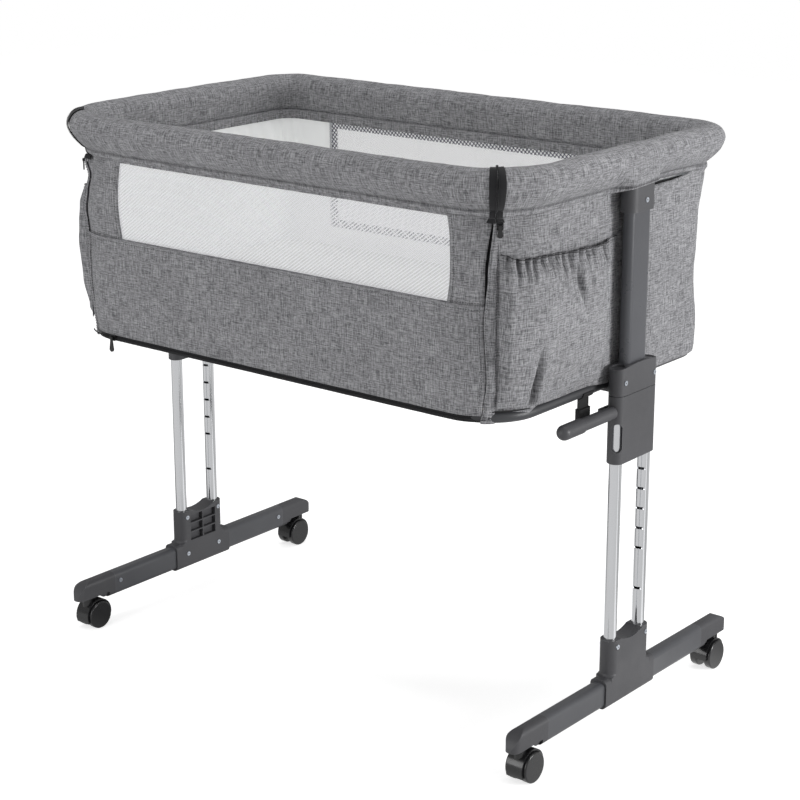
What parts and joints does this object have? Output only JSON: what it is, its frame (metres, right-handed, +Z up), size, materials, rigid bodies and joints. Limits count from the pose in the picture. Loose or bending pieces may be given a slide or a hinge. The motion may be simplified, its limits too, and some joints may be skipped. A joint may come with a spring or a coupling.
{
  "type": "bassinet on stand",
  "caption": "Bedside bassinet of grey cloth with mesh windows, a drop side, end pockets and a padded rim, on two height-adjustable legs with feet and twin-wheel casters.",
  "frame": {"origin": "on the floor, at the middle of the footprint of the whole object", "axes": "+X along the bassinet towards its right end, -Y towards the side that drops, +Z up"},
  "size_m": [0.8746, 0.579, 0.8304],
  "materials": {
    "grey_cloth": "woven, matt",
    "white_mesh": "fine open mesh",
    "zip_tape": "matt",
    "floor_cloth": "matt",
    "mattress_cloth": "soft, matt",
    "webbing": "matt",
    "frame_paint": "satin",
    "post_paint": "satin",
    "bar_paint": "satin",
    "zip_metal": "satin",
    "zip_pull": "satin",
    "board": "plain board",
    "rivet_steel": "bright zinc",
    "stand_plastic": "fine grain",
    "chrome": "polished",
    "caster_plastic": "satin",
    "caster_wheel": "satin"
  },
  "bodies": {
    "cot": {"rim_frame": "frame_paint", "rear_sleeve": "grey_cloth", "rear_panel": "grey_cloth", "rear_mesh": "white_mesh", "floor_cloth": "floor_cloth", "bed_board": "board", "mattress": "mattress_cloth", "lower_frame": "frame_paint", "cot_rivets": "rivet_steel", "bed_straps": "webbing", "corner_sliders": "zip_metal", "end_panel_right": "grey_cloth", "end_pocket_right": "grey_cloth", "frame_clamp_right": "stand_plastic", "post_right": "post_paint", "post_cap_right": "stand_plastic", "upper_housing_right": "stand_plastic", "lower_housing_right": "stand_plastic", "end_panel_left": "grey_cloth", "end_pocket_left": "grey_cloth", "frame_clamp_left": "stand_plastic", "post_left": "post_paint", "post_cap_left": "stand_plastic", "upper_housing_left": "stand_plastic", "lower_housing_left": "stand_plastic"},
    "drop_side": {"front_rail": "frame_paint", "front_sleeve": "grey_cloth", "front_panel": "grey_cloth", "front_mesh": "white_mesh", "bottom_zip_tape": "zip_tape"},
    "bottom_slider": {"bottom_zip_slider": "zip_metal"},
    "bottom_pull": {"bottom_zip_pull": "zip_pull"},
    "right_leg": {"front_tube_right": "chrome", "rear_tube_right": "chrome", "tube_plugs_right": "stand_plastic", "leg_socket_right": "stand_plastic", "foot_bar_right": "bar_paint", "foot_cap_front_right": "stand_plastic", "foot_cap_rear_right": "stand_plastic", "foot_screws_right": "rivet_steel"},
    "right_lever": {"height_lever_right": "stand_plastic"},
    "front_right_caster": {"caster_hood_front_right": "caster_plastic"},
    "front_right_wheels": {"caster_wheels_front_right": "caster_wheel"},
    "rear_right_caster": {"caster_hood_rear_right": "caster_plastic"},
    "rear_right_wheels": {"caster_wheels_rear_right": "caster_wheel"},
    "right_corner_pull": {"corner_pull_right": "zip_pull"},
    "left_leg": {"front_tube_left": "chrome", "rear_tube_left": "chrome", "tube_plugs_left": "stand_plastic", "leg_socket_left": "stand_plastic", "foot_bar_left": "bar_paint", "foot_cap_front_left": "stand_plastic", "foot_cap_rear_left": "stand_plastic", "foot_screws_left": "rivet_steel"},
    "left_lever": {"height_lever_left": "stand_plastic"},
    "front_left_caster": {"caster_hood_front_left": "caster_plastic"},
    "front_left_wheels": {"caster_wheels_front_left": "caster_wheel"},
    "rear_left_caster": {"caster_hood_rear_left": "caster_plastic"},
    "rear_left_wheels": {"caster_wheels_rear_left": "caster_wheel"},
    "left_corner_pull": {"corner_pull_left": "zip_pull"}
  },
  "joints": [
    {"name": "drop_side_hinge", "type": "hinge", "parent": "cot", "child": "drop_side", "pos_m": [0, -0.2585, 0.496], "axis": [1, 0, 0], "range_deg": [0, 160]},
    {"name": "bottom_zip_slide", "type": "slide", "parent": "drop_side", "child": "bottom_slider", "axis": [1, 0, 0], "range_m": [0, 0.62]},
    {"name": "bottom_pull_swing", "type": "hinge", "parent": "bottom_slider", "child": "bottom_pull", "pos_m": [-0.31, -0.2632, 0.5005], "axis": [-1, 0, 0], "range_deg": [0, 160]},
    {"name": "right_height_slide", "type": "slide", "parent": "cot", "child": "right_leg", "axis": [0, 0, 1], "range_m": [0, 0.1764]},
    {"name": "right_lever_pull", "type": "slide", "parent": "cot", "child": "right_lever", "axis": [0, -1, 0], "range_m": [0, 0.008], "stiffness_N_per_m": 1500, "springref_m": -0.004},
    {"name": "front_right_swivel", "type": "hinge", "parent": "right_leg", "child": "front_right_caster", "pos_m": [0.42, -0.2355, 0.0517], "axis": [0, 0, 1], "continuous": true},
    {"name": "front_right_roll", "type": "hinge", "parent": "front_right_caster", "child": "front_right_wheels", "pos_m": [0.42, -0.2235, 0.022], "axis": [1, 0, 0], "continuous": true},
    {"name": "rear_right_swivel", "type": "hinge", "parent": "right_leg", "child": "rear_right_caster", "pos_m": [0.42, 0.2645, 0.0517], "axis": [0, 0, 1], "continuous": true},
    {"name": "rear_right_roll", "type": "hinge", "parent": "rear_right_caster", "child": "rear_right_wheels", "pos_m": [0.42, 0.2525, 0.022], "axis": [1, 0, 0], "continuous": true},
    {"name": "right_corner_pull_swing", "type": "hinge", "parent": "cot", "child": "right_corner_pull", "pos_m": [0.37855, -0.2397, 0.7554], "axis": [-0.7226, -0.6913, 0], "range_deg": [0, 110]},
    {"name": "left_height_slide", "type": "slide", "parent": "cot", "child": "left_leg", "axis": [0, 0, 1], "range_m": [0, 0.1764]},
    {"name": "left_lever_pull", "type": "slide", "parent": "cot", "child": "left_lever", "axis": [0, -1, 0], "range_m": [0, 0.008], "stiffness_N_per_m": 1500, "springref_m": -0.004},
    {"name": "front_left_swivel", "type": "hinge", "parent": "left_leg", "child": "front_left_caster", "pos_m": [-0.42, -0.2355, 0.0517], "axis": [0, 0, 1], "continuous": true},
    {"name": "front_left_roll", "type": "hinge", "parent": "front_left_caster", "child": "front_left_wheels", "pos_m": [-0.42, -0.2235, 0.022], "axis": [1, 0, 0], "continuous": true},
    {"name": "rear_left_swivel", "type": "hinge", "parent": "left_leg", "child": "rear_left_caster", "pos_m": [-0.42, 0.2645, 0.0517], "axis": [0, 0, 1], "continuous": true},
    {"name": "rear_left_roll", "type": "hinge", "parent": "rear_left_caster", "child": "rear_left_wheels", "pos_m": [-0.42, 0.2525, 0.022], "axis": [1, 0, 0], "continuous": true},
    {"name": "left_corner_pull_swing", "type": "hinge", "parent": "cot", "child": "left_corner_pull", "pos_m": [-0.37855, -0.2397, 0.7554], "axis": [-0.7226, 0.6913, 0], "range_deg": [0, 110]}
  ],
  "couplings": [
    {"joint": "bottom_pull_swing", "follows": "drop_side_hinge", "ratio": 1}
  ]
}
